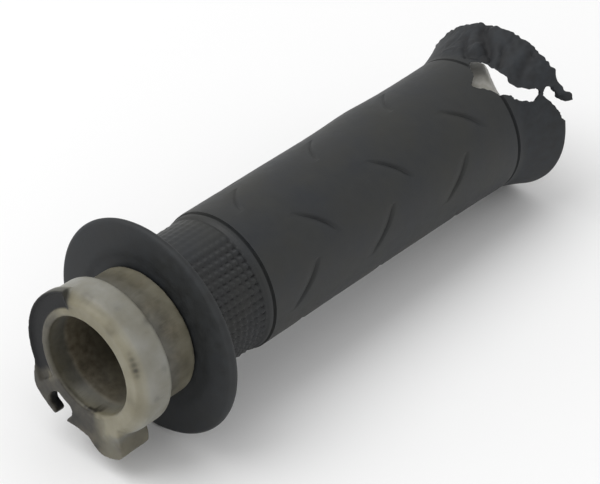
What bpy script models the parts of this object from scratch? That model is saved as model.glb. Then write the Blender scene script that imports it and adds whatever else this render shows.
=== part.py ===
"""Motorcycle throttle grip: a rubber sleeve on a nylon throttle tube with its cable drum.

The tube's axis lies along +X, from the cable drum's front face at X = 0 to the flared
outer end of the rubber. Angles are measured about that axis, from +Z towards +Y.
The outer end is the worn one of a used grip: its rim is torn open along one side.
"""

import math

import bmesh
import bpy
from mathutils import Matrix, Vector

MM = 0.001
STEPS = 72

# Handlebar bore and tube
BORE_R = 11.25
MOUTH_R = 11.5
MOUTH_DEPTH = 4.9
TUBE_R = 12.9
TUBE_END_X = 131.4
COLLAR_R = 14.9
SHOULDER_X = 17.15

# Cable drum
DRUM_R = 17.0
DRUM_BACK_X = 8.4
FACE_R = 14.8
RIM_R = 13.3
PLATE_R = 17.5
PLATE_X = 2.6
RECESS_DEPTH = 0.7
ARM_R = 21.4
POCKET_IN_R = 15.0
POCKET_OUT_R = 19.9
LUG_R = 22.4
LUG_FRONT_X = 0.3
CABLE_GROOVE_R = 14.4
CABLE_GROOVE_X = (3.1, 6.3)
CABLE_GROOVE_ANGLES = (52.0, 141.0)

# Rubber sleeve
SLEEVE_BORE_R = 13.2
FLANGE_FRONT_X = 17.3
FLANGE_SEAT_X = 17.5
FLANGE_R = 25.35
FLANGE_BACK_X = 19.3
BAND_R = 15.6
STRIP_R = 16.2
STRIP_X = (38.1, 38.8)
BODY_R = 16.5
BODY_END_R = 16.9
GROOVE_X = (39.9, 122.7)
GROOVE_HALF_WIDTH = 0.4
GROOVE_DEPTH = 0.75
FLARE_R = 20.5
FLARE_WIDEST_X = 135.0
RIM_X = 136.2
RIM_WALL = 1.9
FLARE_POWER = 1.3

# Scooped finger marks in the rubber body: their rows, as (X, twist in degrees), and the
# (first angle, last angle, start, advance and bulge along X) of each mark of a quarter turn
SCOOP_ROWS = ((54.7, -4.5), (80.0, -1.0), (105.7, 1.5))
SCOOPS = ((-26.0, -55.0, 0.1, 8.0, 1.0), (-65.0, -94.0, 0.1, -8.3, 0.9))
SCOOP_DEPTH = 0.75
SCOOP_RAMP = 2.6
SCOOP_TURN = 90.0
SCOOP_STATIONS = 9

# The marks of every second quarter turn lie further back, are shorter and bulge the other way
BACK_SHIFT = -3.2
BACK_SHORTER = 6.0
BACK_BULGE = -1.0
BACK_DEPTH = 0.5

# Edges of the hole torn in the flare, as (X, angle): the edge nearer the drum from top to
# bottom, then the edge nearer the rim from bottom to top
HOLE_NEAR = (
    (123.8, 0.0),
    (122.2, -7.5),
    (120.5, -14.5),
    (118.4, -18.5),
    (118.1, -22.0),
    (119.7, -27.5),
    (121.3, -32.5),
    (123.2, -39.0),
    (125.0, -45.0),
    (126.5, -51.0),
    (128.4, -56.5),
    (129.3, -55.5),
)
HOLE_FAR = (
    (130.5, -54.5),
    (130.7, -51.5),
    (129.2, -47.5),
    (127.3, -42.5),
    (126.6, -36.0),
    (126.3, -24.0),
    (125.6, -11.0),
)

# Edges of the stretch of rim torn away beside the hole, as (X, angle): the lower edge from
# the rim inward, then the edge of the strip above it from inside out
RIM_GAP_LOWER = (
    (142.0, -84.0),
    (137.0, -83.0),
    (135.1, -76.0),
    (134.4, -69.5),
    (133.4, -64.0),
    (132.1, -58.0),
    (131.9, -54.0),
)
RIM_GAP_UPPER = (
    (132.4, -51.6),
    (133.4, -51.3),
    (134.4, -56.2),
    (135.2, -59.6),
    (136.2, -63.3),
    (137.9, -67.0),
    (142.0, -68.5),
)

# The upper torn edges feather out: they are cut back this far inside, along X and in angle.
# The cutters run from a radius inside the rubber to one outside it, and the feathering
# starts at the rubber's own surface between them
FEATHER_X = 3.0
FEATHER_ANGLE = 4.0
HOLE_TEAR_R = (12.5, 18.8, 27.0)
RIM_TEAR_R = (15.5, 21.2, 27.0)

# Curled tongue left on the torn rim, as (X, radius, angle, half width)
TONGUE = (
    (135.6, 20.6, -57.0, 0.8),
    (137.0, 20.7, -61.0, 0.9),
    (137.2, 21.4, -66.5, 0.9),
)
TONGUE_THICKNESS = 1.1

# The torn edge has lifted off the flare's round: how far out and along, and where
LIFT = 1.2
LIFT_ALONG = 0.8
LIFT_X = (121.4, 134.4)
LIFT_ANGLES = (35.0, -45.0, -60.0, -76.0)

# Flat ground across the outer end of the tube: it meets the axis at X, leans by a slope
# of X per radius, and faces this angle
WEAR_X = 142.9
WEAR_SLOPE = 1.35
WEAR_ANGLE = -43.0
WEAR_SIZE = 60.0


def place(x, r, angle):
    """Point at x along the axis, r from it, angle about it, in metres."""
    a = math.radians(angle)
    return Vector((x, r * math.sin(a), r * math.cos(a))) * MM


def arc(r, first, last, step=4.0):
    """(radius, angle) points along an arc of radius r, both ends included."""
    count = max(1, round(abs(last - first) / step))
    return [(r, first + (last - first) * i / count) for i in range(count + 1)]


def rounded(cx, cr, radius, first, last, count=4):
    """(x, r) points on a quarter round or less, with angles measured from +X towards +r."""
    points = []
    for i in range(count + 1):
        a = math.radians(first + (last - first) * i / count)
        points.append((cx + radius * math.cos(a), cr + radius * math.sin(a)))
    return points


def finish(name, bm, material=None):
    """Turns a bmesh into an object whose faces point out."""
    bmesh.ops.recalc_face_normals(bm, faces=bm.faces)
    mesh = bpy.data.meshes.new(name)
    bm.to_mesh(mesh)
    bm.free()
    if material:
        mesh.materials.append(material)
    obj = bpy.data.objects.new(name, mesh)
    bpy.context.scene.collection.objects.link(obj)
    return obj


def unlifted(x, angle):
    """Shift of a plain turned shape, along X and outward: none."""
    return 0.0, 0.0


def revolved(name, profile, material, shift=unlifted):
    """Closed (x, r) profile turned about the X axis, each point then shifted."""
    bm = bmesh.new()
    rings = []
    for i in range(STEPS):
        angle = 180.0 - 360.0 * i / STEPS
        ring = []
        for x, r in profile:
            along, outward = shift(x, angle)
            ring.append(bm.verts.new(place(x + along, r + outward, angle)))
        rings.append(ring)
    for here, there in zip(rings, rings[1:] + rings[:1]):
        for j in range(len(profile)):
            k = (j + 1) % len(profile)
            bm.faces.new((here[j], here[k], there[k], there[j]))
    return finish(name, bm, material)


def prism(name, outline, x0, x1):
    """(radius, angle) outline extruded along X from x0 to x1."""
    bm = bmesh.new()
    face = bm.faces.new([bm.verts.new(place(x0, r, a)) for r, a in outline])
    grown = bmesh.ops.extrude_face_region(bm, geom=[face])
    moved = [v for v in grown["geom"] if isinstance(v, bmesh.types.BMVert)]
    bmesh.ops.translate(bm, vec=Vector((x1 - x0, 0.0, 0.0)) * MM, verts=moved)
    return finish(name, bm)


def skin(bm, sections):
    """Closed solid through sections that each hold the same number of points."""
    loops = [[bm.verts.new(point) for point in section] for section in sections]
    for here, there in zip(loops, loops[1:]):
        for j in range(len(here)):
            k = (j + 1) % len(here)
            bm.faces.new((here[j], here[k], there[k], there[j]))
    bm.faces.new(loops[0])
    bm.faces.new(loops[-1])


def torn_tool(name, square_edge, feather_edge, radii):
    """Cutter between two (x, angle) edges, feathering the second from the middle radius in."""
    outline = square_edge + feather_edge
    cut_back = square_edge + tuple((x + FEATHER_X, a + FEATHER_ANGLE) for x, a in feather_edge)
    bm = bmesh.new()
    inner, middle, outer = radii
    skin(
        bm,
        (
            [place(x, inner, a) for x, a in cut_back],
            [place(x, middle, a) for x, a in outline],
            [place(x, outer, a) for x, a in outline],
        ),
    )
    return finish(name, bm)


def combine(obj, tool, operation):
    """Adds an exact Boolean with a hidden tool object."""
    tool.hide_render = True
    tool.display_type = "WIRE"
    modifier = obj.modifiers.new(tool.name, "BOOLEAN")
    modifier.operation = operation
    modifier.solver = "EXACT"
    modifier.object = tool


def smooth(obj):
    """Smooth shading with sharp edges kept."""
    obj.data.shade_smooth()
    obj.data.set_sharp_from_angle(angle=math.radians(35.0))


def plain_material(name, color, roughness):
    material = bpy.data.materials.new(name)
    material.use_nodes = True
    shader = material.node_tree.nodes["Principled BSDF"]
    shader.inputs["Base Color"].default_value = (*color, 1.0)
    shader.inputs["Roughness"].default_value = roughness
    shader.inputs["Metallic"].default_value = 0.0
    return material


def plate_outline():
    """Front plate of the drum: cable wall, hook arm, nipple pocket, lip and stop lug."""
    outline = arc(PLATE_R, 20.0, 112.0)
    outline += [(18.3, 116.5), (19.5, 121.0), (20.7, 125.5)]
    outline += arc(ARM_R, 130.0, 149.0)
    outline += [(20.9, 151.0), (20.2, 151.2)]
    outline += arc(POCKET_OUT_R, 149.5, 143.0)
    outline += [(18.7, 139.4), (17.0, 138.4), (15.7, 139.8)]
    outline += arc(POCKET_IN_R, 142.5, 157.0)
    outline += [(15.8, 160.0), (17.4, 160.6), (19.0, 158.0), (20.2, 156.6)]
    outline += [(19.8, 160.0), (19.2, 164.0), (19.0, 171.0), (19.2, 178.0)]
    outline += [(20.4, 181.5), (21.6, 185.0), (22.3, 189.5)]
    outline += [(LUG_R, 196.0), (22.3, 202.0), (21.3, 207.0), (19.5, 209.5), (16.4, 212.0)]
    outline += [(14.2, 214.0)]
    outline += arc(12.4, 214.0, 20.0, 10.0)
    return outline


def pocket_outline():
    """Cable nipple pocket cut behind the front plate, open outwards."""
    outline = [(24.0, 150.5), (20.3, 150.0)]
    outline += arc(POCKET_OUT_R, 148.0, 143.0)
    outline += [(18.7, 139.4), (17.0, 138.4), (15.7, 139.8)]
    outline += arc(POCKET_IN_R, 142.5, 157.0)
    outline += [(15.8, 160.0), (17.4, 160.6), (19.0, 158.5), (24.0, 156.5)]
    return outline


def lug_outline():
    """Stop lug under the drum, over the drum's full width."""
    outline = [(15.0, 179.0), (19.1, 179.0), (20.4, 182.0), (21.6, 185.5), (22.2, 189.5)]
    outline += [(22.3, 196.0), (22.2, 202.0), (21.2, 206.8), (19.5, 209.3), (16.4, 211.7)]
    outline += [(14.6, 213.0)]
    return outline


def wear_tool():
    """Block whose near face is the flat ground across the tube's outer end."""
    outward = place(0.0, 1.0, WEAR_ANGLE).normalized()
    normal = (Vector((1.0, 0.0, 0.0)) + WEAR_SLOPE * outward).normalized()
    turn = normal.to_track_quat("Z", "Y").to_matrix().to_4x4()
    middle = Vector((WEAR_X, 0.0, 0.0)) * MM + normal * (0.5 * WEAR_SIZE * MM)
    bm = bmesh.new()
    bmesh.ops.create_cube(bm, size=WEAR_SIZE * MM, matrix=Matrix.Translation(middle) @ turn)
    return finish("wear_tool", bm)


def throttle_tube(material):
    """Nylon tube, collar and cable drum, moulded in one."""
    profile = [
        (0.0, MOUTH_R + 0.3),
        (0.0, FACE_R),
        (0.4, 15.25),
        (1.05, 15.7),
        (1.5, 16.4),
        (2.1, 16.85),
        (2.9, DRUM_R),
        (7.9, DRUM_R),
        (8.3, 16.7),
        (DRUM_BACK_X, 16.2),
        (DRUM_BACK_X, 15.3),
        (8.8, COLLAR_R),
        (SHOULDER_X, COLLAR_R),
        (SHOULDER_X, 13.4),
        (SHOULDER_X + 0.5, TUBE_R),
        (TUBE_END_X - 0.3, TUBE_R),
        (TUBE_END_X, TUBE_R - 0.3),
        (TUBE_END_X, BORE_R),
        (MOUTH_DEPTH + 0.3, BORE_R),
        (MOUTH_DEPTH, MOUTH_R),
        (0.3, MOUTH_R),
    ]
    tube = revolved("throttle_tube", profile, material)
    combine(tube, prism("plate_tool", plate_outline(), 0.0, PLATE_X), "UNION")
    combine(tube, prism("lug_tool", lug_outline(), LUG_FRONT_X, 8.2), "UNION")
    recess = arc(16.9, 21.5, 112.0) + [(17.6, 118.0), (18.4, 124.0), (18.6, 128.0)]
    recess += arc(RIM_R, 128.0, 21.5)
    combine(tube, prism("recess_tool", recess, -1.0, RECESS_DEPTH), "DIFFERENCE")
    cable = arc(19.0, *CABLE_GROOVE_ANGLES) + arc(CABLE_GROOVE_R, *CABLE_GROOVE_ANGLES[::-1])
    combine(tube, prism("cable_tool", cable, *CABLE_GROOVE_X), "DIFFERENCE")
    combine(tube, prism("pocket_tool", pocket_outline(), -1.0, 6.3), "DIFFERENCE")
    combine(tube, wear_tool(), "DIFFERENCE")
    smooth(tube)
    return tube


def flare_r(x):
    """Outer radius of the flared end at x."""
    start = GROOVE_X[1] + GROOVE_HALF_WIDTH
    share = (x - start) / (FLARE_WIDEST_X - start)
    return BODY_END_R + (FLARE_R - BODY_END_R) * share**FLARE_POWER


def smoothstep(start, end, value):
    """Runs from 0 at start to 1 at end."""
    share = min(max((value - start) / (end - start), 0.0), 1.0)
    return share * share * (3.0 - 2.0 * share)


def lift(x, angle):
    """How far the torn flare has lifted at this point, along X and outward."""
    rise, full, hold, back = LIFT_ANGLES
    around = smoothstep(rise, full, angle) - smoothstep(hold, back, angle)
    share = around * smoothstep(*LIFT_X, x)
    return LIFT_ALONG * share, LIFT * share


def groove(x, r):
    """Profile points of a turned groove at x in a surface of radius r."""
    return [
        (x - GROOVE_HALF_WIDTH, r),
        (x - 0.5 * GROOVE_HALF_WIDTH, r - GROOVE_DEPTH),
        (x + 0.5 * GROOVE_HALF_WIDTH, r - GROOVE_DEPTH),
        (x + GROOVE_HALF_WIDTH, r),
    ]


def sleeve_profile():
    """Closed (x, r) profile of the rubber sleeve."""
    profile = [(FLANGE_SEAT_X, SLEEVE_BORE_R), (FLANGE_SEAT_X, 17.3)]
    profile += [(FLANGE_FRONT_X, 17.8), (FLANGE_FRONT_X, 24.4)]
    middle = 0.5 * (FLANGE_FRONT_X + FLANGE_BACK_X)
    half = 0.5 * (FLANGE_BACK_X - FLANGE_FRONT_X)
    profile += rounded(middle, FLANGE_R - half, half, 150.0, 30.0)
    profile += [(FLANGE_BACK_X, 24.3), (FLANGE_BACK_X + 0.3, 19.0)]
    profile += rounded(22.1, BAND_R + 2.4, 2.4, 205.0, 270.0)
    profile += [(STRIP_X[0], BAND_R), (STRIP_X[1], STRIP_R)]
    profile += groove(GROOVE_X[0], STRIP_R)[:2]
    profile += groove(GROOVE_X[0], BODY_R)[2:]
    profile += [(x, BODY_R) for x in (56.0, 70.0, 84.0)]
    profile += [(99.0, BODY_R + 0.05), (114.0, BODY_R + 0.25)]
    profile += groove(GROOVE_X[1], BODY_END_R)
    profile += [(x, flare_r(x)) for x in (125.5, 128.0, 130.5, 132.6, 134.0)]
    profile += [(FLARE_WIDEST_X, FLARE_R), (RIM_X - 0.5, 20.4), (RIM_X - 0.1, 20.1)]
    profile += [(RIM_X, 19.6), (RIM_X - 0.1, 19.1), (RIM_X - 0.6, FLARE_R - RIM_WALL)]
    profile += [(x, flare_r(x) - RIM_WALL - 0.4) for x in (133.5, 130.0)]
    profile += [(127.0, SLEEVE_BORE_R + 0.9), (124.0, SLEEVE_BORE_R)]
    return profile


def scoop_sections(row, twist, quarter, mark):
    """Sections of one crescent cutter, deep along its far edge and running out behind it."""
    first, last, start, advance, bulge = mark
    depth = SCOOP_DEPTH
    if quarter % 2:
        last += BACK_SHORTER
        start += BACK_SHIFT
        bulge = BACK_BULGE
        depth = BACK_DEPTH
    top = BODY_R + 1.5
    sections = []
    for i in range(SCOOP_STATIONS):
        share = i / (SCOOP_STATIONS - 1)
        angle = first + (last - first) * share + twist + quarter * SCOOP_TURN
        x = row + start + advance * share + bulge * math.sin(math.pi * share)
        fade = math.sin(math.pi * (0.08 + 0.84 * share)) ** 0.5
        deepest = place(x, BODY_R + 0.15 - depth * fade, angle)
        far_lip = place(x + 0.25, top, angle)
        near_lip = place(x - SCOOP_RAMP * fade * 3.0, top, angle)
        sections.append((deepest, far_lip, near_lip))
    return sections


def scoop_tools():
    """All the crescent cutters of the body."""
    bm = bmesh.new()
    for row, twist in SCOOP_ROWS:
        for quarter in range(4):
            for mark in SCOOPS:
                skin(bm, scoop_sections(row, twist, quarter, mark))
    return finish("scoop_tools", bm)


def tongue_tool():
    """Curled strip that the torn rim has left standing."""
    bm = bmesh.new()
    sections = []
    for x, r, angle, half in TONGUE:
        low = r - 0.5 * TONGUE_THICKNESS
        high = r + 0.5 * TONGUE_THICKNESS
        sections.append(
            (
                place(x - half, low, angle),
                place(x - half, high, angle),
                place(x + half, high, angle),
                place(x + half, low, angle),
            )
        )
    skin(bm, sections)
    return finish("tongue_tool", bm)


def grip_rubber(material):
    """Rubber sleeve: flange, ribbed band, scooped body and torn flared end."""
    rubber = revolved("grip_rubber", sleeve_profile(), material, lift)
    combine(rubber, scoop_tools(), "DIFFERENCE")
    hole = torn_tool("hole_tool", HOLE_NEAR, HOLE_FAR, HOLE_TEAR_R)
    combine(rubber, hole, "DIFFERENCE")
    rim_gap = torn_tool("rim_gap_tool", RIM_GAP_LOWER, RIM_GAP_UPPER, RIM_TEAR_R)
    combine(rubber, rim_gap, "DIFFERENCE")
    combine(rubber, tongue_tool(), "UNION")
    smooth(rubber)
    return rubber


def main():
    for obj in list(bpy.data.objects):
        bpy.data.objects.remove(obj, do_unlink=True)
    nylon = plain_material("aged_nylon", (0.36, 0.35, 0.29), 0.5)
    rubber = plain_material("charcoal_rubber", (0.022, 0.023, 0.025), 0.6)
    throttle_tube(nylon)
    grip_rubber(rubber)


main()
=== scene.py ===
"""Looks of a used motorcycle throttle grip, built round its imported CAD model.

The rubber sleeve is one dense closed mesh with its knurled band, scooped marks, grooves and the
torn flared end. The nylon tube is the CAD tube with its edges rounded as moulded nylon has them.
Lengths below are in millimetres and turned into metres when a mesh is made; only the camera and
the lamp are placed in metres. The tube's axis is +X. Angles are in degrees about it, from +Z
towards +Y.
"""

import math

import bmesh
import bpy
import numpy as np
from mathutils import Matrix, Vector, noise


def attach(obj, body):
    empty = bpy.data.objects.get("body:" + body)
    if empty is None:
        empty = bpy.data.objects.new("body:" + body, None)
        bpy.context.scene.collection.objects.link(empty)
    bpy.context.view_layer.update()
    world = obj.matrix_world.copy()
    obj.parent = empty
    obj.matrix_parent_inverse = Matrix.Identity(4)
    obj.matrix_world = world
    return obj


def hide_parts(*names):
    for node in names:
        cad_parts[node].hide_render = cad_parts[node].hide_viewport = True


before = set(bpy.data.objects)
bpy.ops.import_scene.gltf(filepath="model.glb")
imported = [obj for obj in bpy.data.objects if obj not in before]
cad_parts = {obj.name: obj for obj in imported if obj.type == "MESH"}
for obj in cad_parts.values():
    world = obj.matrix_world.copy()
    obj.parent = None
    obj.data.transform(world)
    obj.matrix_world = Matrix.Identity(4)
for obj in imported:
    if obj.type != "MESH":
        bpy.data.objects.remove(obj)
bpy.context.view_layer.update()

MM = 0.001

# Limits that lie past the object, for a window that is open to one side
OPEN_LOW = (-1001.0, -1000.0)
OPEN_HIGH = (1000.0, 1001.0)
ANYWHERE = OPEN_LOW + OPEN_HIGH

# Sleeve, as the CAD has it
SLEEVE_BORE_R = 13.2
SLEEVE_BORE_XS = (106.0, 70.0, 30.0)
FLANGE_FRONT_X = 17.3
FLANGE_SEAT_X = 17.5
FLANGE_SEAT_R = 17.2
FLANGE_FACE_R = 17.8
FLANGE_R = 25.35
FLANGE_BACK_X = 19.3
FLANGE_BACK_R = 24.0
FLANGE_ROOT = ((19.6, 19.0), (19.9, 17.0))
FLANGE_STEP = 0.95
ROOT_FILLET_X = 22.1
ROOT_FILLET_R = 2.4
BAND_R = 15.6
BODY_R = 16.5
BODY_SWELL = (84.0, 99.0, 0.05)
BODY_END_R = 16.9
GROOVE_X = (39.9, 122.7)
GROOVE_HALF_WIDTH = (0.36, 0.5)
GROOVE_DEPTH = 0.8
FLARE_R = 20.5
FLARE_WIDEST_X = 135.0
FLARE_POWER = 1.3
RIM_X = 136.2
LONGEST_X = 138.05

# Flare's outer side where it starts to turn in, the rounded rim, and the inner side behind it, all
# as (X, radius); the inner side is a wall's thickness under the outer at one X
RIM_START = (135.6, 20.38)
RIM_ROUND = ((135.95, 20.15), (136.2, 19.75), (136.2, 19.3), (135.95, 18.9))
INNER_SIDE = ((124.0, 13.2), (127.0, 14.1), (130.0, 16.2))
INNER_END_R = 18.6
RIM_WALL = 2.1
RIM_WALL_X = 133.5

# Knurled band: ribs round the band, rows of pips along it, mesh points for each, and the share of
# a rib's height that is left between its pips
RIBS = 53
PIP_POINTS = 6
COLUMNS = PIP_POINTS * RIBS
STEP_ANGLE = 360.0 / COLUMNS
KNURL_X = (21.9, 38.1)
KNURL_ROWS = 9
KNURL_HEIGHT = 0.78
KNURL_BASE_R = 15.1
KNURL_FLOOR = 0.3
# Where the ribs are worn, as a window of angles and how much, and what is left of them there: a
# plain rise over the band, and a rib's height
KNURL_WORN = (((-26.0, -8.0, 45.0, 75.0), 1.0), ((-172.0, -150.0, -132.0, -118.0), 0.6))
WORN_RISE = 0.1
WORN_RIB = 0.14

# Plain raised strip between the knurl and the first groove
STRIP_R = 16.2
STRIP_X = (38.2, 39.0)
STRIP_SLOPE = (38.5, 15.95)
STRIP_ROW = 0.3

# Noise layers, each (size of its lumps, height, seed): the body's unevenness, a fine grain and its
# shares, the torn strip's crumple, its outer side's and its inner side's, and the torn rim's
BODY_UNEVEN = (14.0, 0.05, 1)
FINE_GRAIN = (3.0, 1.0, 2)
FINE_ON_BODY = 0.015
FINE_ON_KNURL = 0.35
CRUMPLE = ((3.6, 0.28, 11), (1.5, 0.2, 12))
OUTER_CRUMPLE = (0.9, 0.2, 13)
INNER_CRUMPLE = (2.2, 0.3, 21)
RIM_CRUMPLE = (1.1, 0.45, 33)
RIM_RAG = ((2.0, 1.0, 31), (0.8, 0.8, 32))
RIM_RAG_X = 0.45
RIM_RAG_RING = (130.0, 20.0)
WALL_CRUMPLE = (0.9, 0.22)

# Bulges of the worn body, as (X, angle, rise, half length, half angle)
BULGES = ((94.5, 47.0, 0.42, 8.0, 34.0), (72.0, 50.0, 0.16, 26.0, 30.0))

# Scooped marks: rows as (X, twist in degrees), and the two marks of each quarter turn as
# (first angle, last angle, start, advance and bulge along X)
SCOOP_ROWS = ((54.7, -4.5), (80.0, -1.0), (105.7, 1.5))
SCOOPS = ((-26.0, -55.0, 0.5, 8.0, 1.0), (-65.0, -94.0, 0.5, -8.3, 0.9))
SCOOP_DEPTH = 0.72
SCOOP_SLIT = 1.6
SCOOP_RAMP_DEPTH = 0.34
SCOOP_RAMP = 3.6
SCOOP_WALL = (-0.3, 0.55)
SCOOP_TIP = 0.03
SCOOP_BLUNT = 0.6
# Where the mesh is divided finely for them: past a radius, and this near to a line behind the slit
BODY_SKIN_R = 16.0
SCOOP_MIDDLE = 0.6
SCOOP_REACH = 1.1

# The marks of every second quarter turn lie further back, are shorter and bulge the other way
BACK_SHIFT = -3.2
BACK_SHORTER = 3.0
BACK_ADVANCE = 0.7
BACK_BULGE = -1.0
BACK_DEPTHS = (0.25, 0.75)

# Torn end: where it starts, the mesh's rows along it and along the body, and loops down a torn wall
TEAR_START_X = 116.0
TEAR_START_R = 16.77
TEAR_ROW = 0.36
BODY_ROW = 0.8
WALL_LOOPS = 4

# The torn strip is lifted: how far, over which X and angles, and where it ends, as (X, angle)
LIFT = 1.0
LIFT_X = (121.4, 134.4)
LIFT_ANGLES = (35.0, -45.0)
LIFT_END = (
    (130.0, -54.5), (132.0, -54.5), (134.0, -58.5), (135.0, -65.0), (136.2, -71.0), (138.0, -74.0),
)
LIFT_FADE = 2.0

# Where the rim starts to stretch along X, and the X and angles over which the strip is crumpled,
# the rim is ragged and the tongue's tip curls up
STRETCH_START_X = 128.0
CRUMPLED_X = (123.0, 127.0)
CRUMPLED_ANGLES = (-74.0, -66.0, 25.0, 50.0)
RAGGED_X = 131.5
RAGGED_ANGLES = (-74.0, -66.0, 95.0, 110.0)
CURL = 1.6
CURL_X = 133.8
CURL_ANGLES = (-57.0, -63.0, -70.0, -73.0)

# The inner side is cut back under the strip's edges: how far in, the steps along an edge, how far
# past the edge it starts, and how much less where the rubber is thin
FEATHER_REACH = 5.0
FEATHER_STEP = 0.25
FEATHER_PAST = (-0.8, -0.1)
FEATHER_CALM = 0.85

# Radii at which arcs are measured on the torn surface: along its torn edges, and on the strip
EDGE_R = 18.5
ON_STRIP_R = 19.0

# Steps along a torn edge, and its noise: size of the lumps, a finer size's share, and how far it
# shifts the edge along X and in angle
RAG_STEP = 0.1
RAG_SIZE = 1.1
FINE_RAG = 0.4
RAG_X = 0.2
RAG_ANGLE = 0.6

# Where the torn rubber is drawn out thin: (X, angle), full within and gone past these distances,
# and how thick it is there
THIN_AT = ((131.6, -53.5, 1.5, 6.5, 1.0), (137.5, -63.0, 3.0, 6.0, 1.0), (124.8, -4.0, 2.5, 6.5, 0.45))

# Where the torn rim ends, as (angle, X)
RIM_EDGE = (
    (-84.0, 136.2), (-76.0, 136.3), (-70.0, 137.0), (-66.0, 137.5), (-61.0, 137.7), (-59.5, 136.8),
    (-56.5, 137.0), (-53.0, 137.0), (-50.7, 136.8), (-48.0, 137.5), (-45.0, 137.1), (-39.0, 137.1),
    (-34.0, 136.9), (-27.0, 137.1), (-17.5, 136.6), (-9.0, 136.8), (0.0, 136.4), (12.0, 136.8),
    (25.0, 136.5), (38.0, 136.6), (50.0, 136.1), (64.0, 136.2),
)

# Folds of the torn strip, as lines of (X, angle) with their depth and half width, and its lumps as
# (X, angle, height, half width)
FOLDS = (
    (((131.5, 20.5), (129.6, 17.3), (127.0, 12.1), (125.2, 6.0)), 0.65, 0.8),
    (((125.2, 6.0), (125.8, 0.0), (127.2, -8.5)), 0.6, 0.7),
    (((134.6, 11.5), (133.0, 9.5), (130.9, 1.0), (129.1, -5.5), (127.5, -9.5)), 1.2, 1.3),
    (((131.5, -12.0), (129.6, -17.0), (127.6, -21.0)), 0.6, 0.8),
    (((134.5, -28.0), (132.0, -31.0), (129.0, -36.0)), 0.5, 1.0),
)
LUMPS = (
    (127.9, 3.5, 1.3, 1.4), (125.6, 27.5, 0.5, 2.2), (130.5, -24.0, 0.45, 2.4),
    (132.0, -42.0, 0.4, 2.4), (137.6, -57.5, 0.7, 0.8),
)

# Edges of the hole, as (X, angle): the drum side from top to bottom, then the strip side back up
HOLE_DRUM_SIDE = (
    (123.8, -0.3), (122.2, -7.5), (120.6, -14.7), (118.5, -18.0), (118.0, -20.8), (118.6, -25.0),
    (119.9, -28.1), (121.3, -32.5), (122.2, -37.2), (123.5, -40.2), (125.0, -43.7), (125.2, -47.0),
    (126.4, -51.1), (128.3, -54.9), (129.4, -56.9), (130.2, -55.6),
)
HOLE_STRIP_SIDE = (
    (130.9, -54.1), (131.2, -51.9), (130.7, -48.9), (129.4, -47.5), (127.8, -42.8), (126.9, -42.0),
    (126.4, -36.8), (126.1, -33.0), (126.5, -30.3), (126.2, -23.7), (126.0, -15.5), (125.5, -9.8),
    (124.7, -3.5),
)

# Edges of the gap in the rim: the strip's lower edge, then the flare's own edge from the rim in
GAP_STRIP_SIDE = (
    (131.8, -53.6), (132.6, -51.4), (133.5, -51.2), (134.1, -52.9), (134.4, -56.2), (134.9, -59.4),
    (135.4, -62.4), (136.0, -65.6), (136.6, -65.9), (137.4, -64.6), (146.0, -64.2),
)
GAP_LOWER_SIDE = (
    (146.0, -86.0), (136.0, -84.0), (135.0, -77.0), (134.7, -73.8), (134.3, -69.5), (133.4, -64.0),
    (132.5, -59.6), (132.1, -55.8),
)

# Edges under which the torn strip feathers: the edge, the direction over which its rubber lies,
# and how far the inner side is cut back along X and in angle
FEATHERS = (
    (HOLE_STRIP_SIDE + HOLE_DRUM_SIDE[:1], (0.96, 0.28), (3.2, 2.0)),
    (GAP_STRIP_SIDE[:-1], (0.2, 0.98), (0.3, 4.5)),
)

# Parts of the sleeve's skin that take the darker, bluish scuffed colour, each (X window, radius window,
# angle window), and how much: wear on the torn strip and the flange, painted shade on the flared end
TORN_STRIP = ((121.0, 127.0, *OPEN_HIGH), (15.5, 17.0, *OPEN_HIGH), (-78.0, -60.0, 20.0, 55.0))
FLARE_SKIN = ((123.0, 126.0, *OPEN_HIGH), (15.5, 17.0, *OPEN_HIGH), ANYWHERE)
FLANGE_SKIN = ((*OPEN_LOW, 19.4, 20.5), ANYWHERE, ANYWHERE)
WORN_AND_SHADED_SKIN = ((TORN_STRIP, 0.8), (FLARE_SKIN, 0.75), (FLANGE_SKIN, 0.45))

# Painted shade and dirt in the sleeve's recesses: how far under the surface it starts and is full, and its
# strength
SCOOP_SHADE_AND_DIRT = (0.15, 0.7, 0.55)
KNURL_SHADE_AND_DIRT = (-0.15, 0.45, 1.0)
GROOVE_SHADE_AND_DIRT = (0.1, 0.6, 0.6)
# Painted shade in the torn strip's creases: its strength, its most, and the X and radius over which it
# comes in
FOLD_SHADE = 1.4
FOLD_SHADE_MOST = 1.2
FOLD_SHADE_X = (124.0, 125.5)
FOLD_SHADE_R = (16.0, 17.0)
OUTER_SIDE_R = 14.5

# Parts of the nylon, each (X window, radius window, angle window), with angles from 0 to 360
CABLE_RECESS = ((*OPEN_LOW, 1.2, 2.4), (13.2, 13.6, 17.2, 17.9), (15.5, 21.5, 118.0, 124.0))
HOOK_POCKET = ((0.5, 0.8, 6.5, 6.8), (14.6, 15.1, 20.0, 20.5), (133.0, 137.0, 158.0, 162.0))
HOOK_ARM = ((*OPEN_LOW, 6.0, 8.0), (14.4, 15.6, *OPEN_HIGH), (104.0, 112.0, 150.0, 158.0))
LOW_PLATE = ((*OPEN_LOW, 3.0, 5.0), (11.5, 11.9, *OPEN_HIGH), (122.0, 134.0, 184.0, 196.0))
STOP_LUG = (ANYWHERE, (15.5, 18.0, *OPEN_HIGH), (176.0, 184.0, 214.0, 222.0))
FRONT_RING = ((*OPEN_LOW, 0.6, 2.6), (*OPEN_LOW, 14.6, 15.2), (25.0, 55.0, 165.0, 195.0))
FRONT_FACE = ((*OPEN_LOW, 0.6, 2.6), (11.0, 11.5, 16.6, 17.1), ANYWHERE)
DRUM_BAND = ((1.9, 2.2, 8.5, 8.8), (16.0, 16.6, *OPEN_HIGH), ANYWHERE)
COLLAR = ((8.4, 8.6, 17.2, 17.4), (14.0, 14.6, *OPEN_HIGH), ANYWHERE)
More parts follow.
